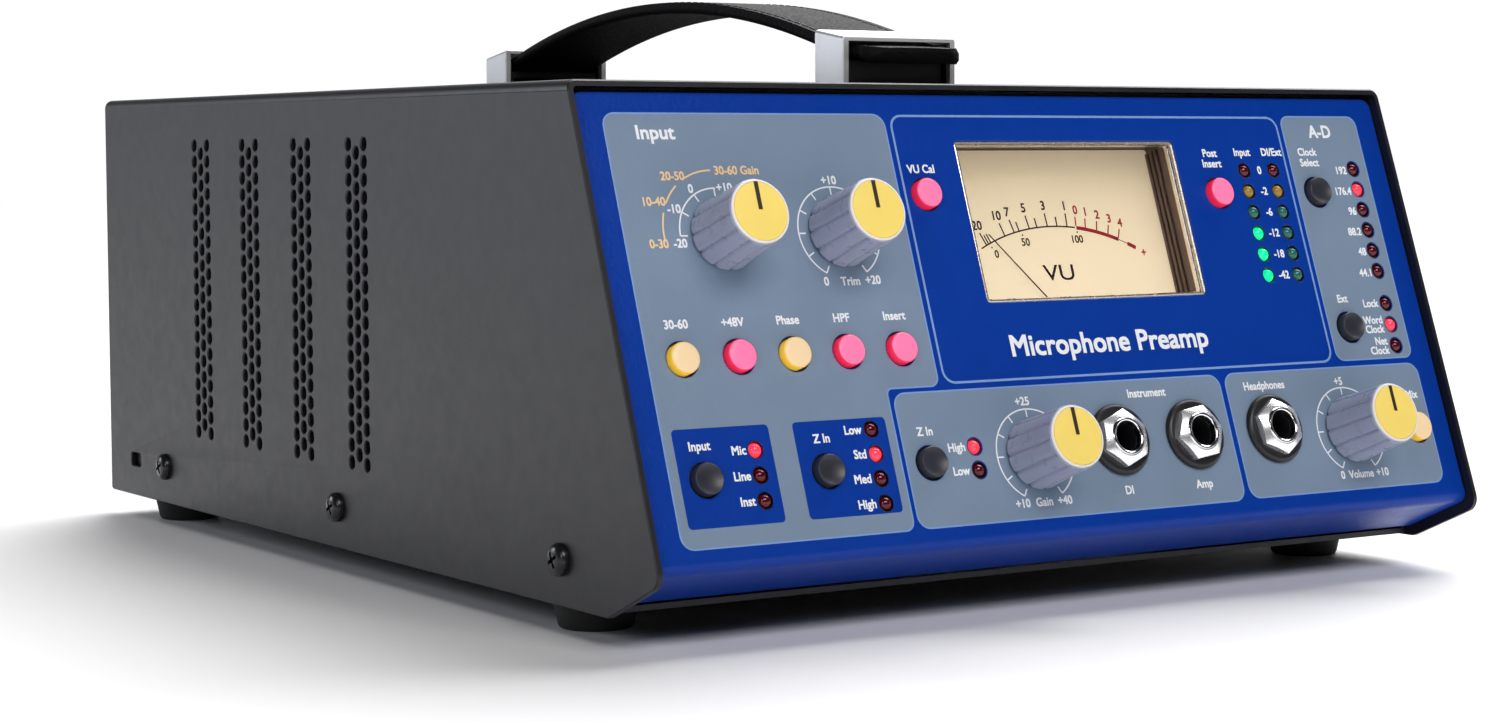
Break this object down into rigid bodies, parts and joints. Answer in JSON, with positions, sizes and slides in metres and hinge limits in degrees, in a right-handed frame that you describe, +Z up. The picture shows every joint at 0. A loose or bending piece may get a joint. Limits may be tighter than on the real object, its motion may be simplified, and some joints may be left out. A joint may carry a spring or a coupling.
{
  "type": "microphone preamplifier",
  "caption": "Desktop microphone preamplifier: black folded steel case, sloping blue control panel with knobs, lit buttons and a needle meter, and a leather strap handle.",
  "frame": {"origin": "under the middle of the part, on the surface its feet stand on", "axes": "+Z up, the sloping control panel faces -Y, the sockets at the back face +Y"},
  "size_m": [0.2244, 0.2995, 0.1337],
  "materials": {
    "cover_paint": "satin black powder coat, fine texture",
    "panel_paint": "semi-gloss blue with fine orange peel and screen-printed grey-blue areas",
    "plain_steel": "zinc plated",
    "screw_black": "blackened pan-head screw",
    "foot_rubber": "matt moulded rubber",
    "strap_leather": "black grained leather",
    "handle_metal": "fine brushed",
    "knob_plastic": "grey-lavender moulded plastic",
    "knob_cap_plastic": "yellow moulded plastic",
    "button_pink": "translucent pink, lit from behind",
    "button_amber": "translucent amber",
    "button_black": "satin black",
    "bright_metal": "bright nickel plate",
    "black_plastic": "satin black",
    "rocker_plastic": "gloss black",
    "socket_shell": "satin black die-cast shell",
    "circuit_board": "green solder resist",
    "transformer_tape": "wound with yellow polyester tape",
    "dial_card": "warm cream, printed scale",
    "clear_plastic": "clear acrylic",
    "needle_black": "black lacquered"
  },
  "bodies": {
    "case": {"top_cover": "cover_paint", "chassis_tray": "cover_paint", "cover_screw_left_front": "screw_black", "cover_screw_left_middle": "screw_black", "cover_screw_left_rear": "screw_black", "cover_screw_right_front": "screw_black", "cover_screw_right_middle": "screw_black", "cover_screw_right_rear": "screw_black", "foot_front_left": "foot_rubber", "foot_front_right": "foot_rubber", "foot_rear_left": "foot_rubber", "foot_rear_right": "foot_rubber", "handle_cap_front": "handle_metal", "handle_cap_rear": "handle_metal", "rear_panel": "cover_paint", "mains_inlet": "black_plastic", "mic_socket": "socket_shell", "output_socket": "socket_shell", "rear_jack_board": "black_plastic", "main_board": "circuit_board", "mains_transformer": "transformer_tape", "input_transformer": "plain_steel", "front_panel": "panel_paint", "di_socket": "black_plastic", "di_socket_nut": "bright_metal", "amp_socket": "black_plastic", "amp_socket_nut": "bright_metal", "headphone_socket": "black_plastic", "headphone_socket_nut": "bright_metal", "meter_case": "black_plastic", "meter_dial": "dial_card", "meter_window": "clear_plastic", "meter_movement": "plain_steel", "front_board": "circuit_board"},
    "strap": {"handle_strap": "strap_leather"},
    "needle": {"meter_needle": "needle_black"},
    "rocker": {"power_rocker": "rocker_plastic"},
    "latch": {"mic_socket_latch": "bright_metal"},
    "gain_control": {"gain_knob": "knob_plastic", "gain_knob_cap": "knob_cap_plastic"},
    "trim_control": {"trim_knob": "knob_plastic", "trim_knob_cap": "knob_cap_plastic"},
    "instrument_control": {"instrument_knob": "knob_plastic", "instrument_knob_cap": "knob_cap_plastic"},
    "phones_control": {"phones_knob": "knob_plastic", "phones_knob_cap": "knob_cap_plastic"},
    "pad_key": {"pad_button": "button_amber"},
    "phantom_key": {"phantom_button": "button_pink"},
    "phase_key": {"phase_button": "button_amber"},
    "filter_key": {"filter_button": "button_pink"},
    "insert_key": {"insert_button": "button_pink"},
    "meter_level_key": {"meter_level_button": "button_pink"},
    "meter_source_key": {"meter_source_button": "button_pink"},
    "mix_key": {"mix_button": "button_amber"},
    "source_key": {"source_button": "button_black"},
    "impedance_key": {"impedance_button": "button_black"},
    "instrument_impedance_key": {"instrument_impedance_button": "button_black"},
    "clock_key": {"clock_button": "button_black"},
    "external_clock_key": {"external_clock_button": "button_black"}
  },
  "joints": [
    {"name": "gain_turn", "type": "hinge", "parent": "case", "child": "gain_control", "pos_m": [-0.0794, -0.11676, 0.07977], "axis": [0, -0.9412, 0.338], "range_deg": [0, 90]},
    {"name": "trim_turn", "type": "hinge", "parent": "case", "child": "trim_control", "pos_m": [-0.0512, -0.11676, 0.07977], "axis": [0, -0.9412, 0.338], "range_deg": [-150, 150]},
    {"name": "instrument_turn", "type": "hinge", "parent": "case", "child": "instrument_control", "pos_m": [-0.0131, -0.13349, 0.03318], "axis": [0, -0.9412, 0.338], "range_deg": [-150, 150]},
    {"name": "phones_turn", "type": "hinge", "parent": "case", "child": "phones_control", "pos_m": [0.0774, -0.13339, 0.03346], "axis": [0, -0.9412, 0.338], "range_deg": [-150, 150]},
    {"name": "pad_press", "type": "slide", "parent": "case", "child": "pad_key", "axis": [0, 0.9412, -0.338], "range_m": [0, 0.002], "stiffness_N_per_m": 250, "springref_m": -0.002},
    {"name": "phantom_press", "type": "slide", "parent": "case", "child": "phantom_key", "axis": [0, 0.9412, -0.338], "range_m": [0, 0.002], "stiffness_N_per_m": 250, "springref_m": -0.002},
    {"name": "phase_press", "type": "slide", "parent": "case", "child": "phase_key", "axis": [0, 0.9412, -0.338], "range_m": [0, 0.002], "stiffness_N_per_m": 250, "springref_m": -0.002},
    {"name": "filter_press", "type": "slide", "parent": "case", "child": "filter_key", "axis": [0, 0.9412, -0.338], "range_m": [0, 0.002], "stiffness_N_per_m": 250, "springref_m": -0.002},
    {"name": "insert_press", "type": "slide", "parent": "case", "child": "insert_key", "axis": [0, 0.9412, -0.338], "range_m": [0, 0.002], "stiffness_N_per_m": 250, "springref_m": -0.002},
    {"name": "meter_level_press", "type": "slide", "parent": "case", "child": "meter_level_key", "axis": [0, 0.9412, -0.338], "range_m": [0, 0.002], "stiffness_N_per_m": 250, "springref_m": -0.002},
    {"name": "meter_source_press", "type": "slide", "parent": "case", "child": "meter_source_key", "axis": [0, 0.9412, -0.338], "range_m": [0, 0.002], "stiffness_N_per_m": 250, "springref_m": -0.002},
    {"name": "mix_press", "type": "slide", "parent": "case", "child": "mix_key", "axis": [0, 0.9412, -0.338], "range_m": [0, 0.002], "stiffness_N_per_m": 250, "springref_m": -0.002},
    {"name": "source_press", "type": "slide", "parent": "case", "child": "source_key", "axis": [0, 0.9412, -0.338], "range_m": [0, 0.002], "stiffness_N_per_m": 250, "springref_m": -0.002},
    {"name": "impedance_press", "type": "slide", "parent": "case", "child": "impedance_key", "axis": [0, 0.9412, -0.338], "range_m": [0, 0.002], "stiffness_N_per_m": 250, "springref_m": -0.002},
    {"name": "instrument_impedance_press", "type": "slide", "parent": "case", "child": "instrument_impedance_key", "axis": [0, 0.9412, -0.338], "range_m": [0, 0.002], "stiffness_N_per_m": 250, "springref_m": -0.002},
    {"name": "clock_press", "type": "slide", "parent": "case", "child": "clock_key", "axis": [0, 0.9412, -0.338], "range_m": [0, 0.002], "stiffness_N_per_m": 250, "springref_m": -0.002},
    {"name": "external_clock_press", "type": "slide", "parent": "case", "child": "external_clock_key", "axis": [0, 0.9412, -0.338], "range_m": [0, 0.002], "stiffness_N_per_m": 250, "springref_m": -0.002},
    {"name": "needle_swing", "type": "hinge", "parent": "case", "child": "needle", "pos_m": [0.0139, -0.11337, 0.05666], "axis": [0, 0.9412, -0.338], "range_deg": [0, 82], "stiffness_Nm_per_rad": 0.00002, "springref_deg": -20.05},
    {"name": "power_rock", "type": "hinge", "parent": "case", "child": "rocker", "pos_m": [-0.076, 0.14082, 0.0515], "axis": [0, 0, -1], "range_deg": [0, 12]},
    {"name": "latch_press", "type": "slide", "parent": "case", "child": "latch", "axis": [0, 0, -1], "range_m": [0, 0.0015], "stiffness_N_per_m": 400, "springref_m": -0.001},
    {"name": "strap_slide", "type": "slide", "parent": "case", "child": "strap", "axis": [0, 1, 0], "range_m": [-0.001, 0.001]}
  ]
}
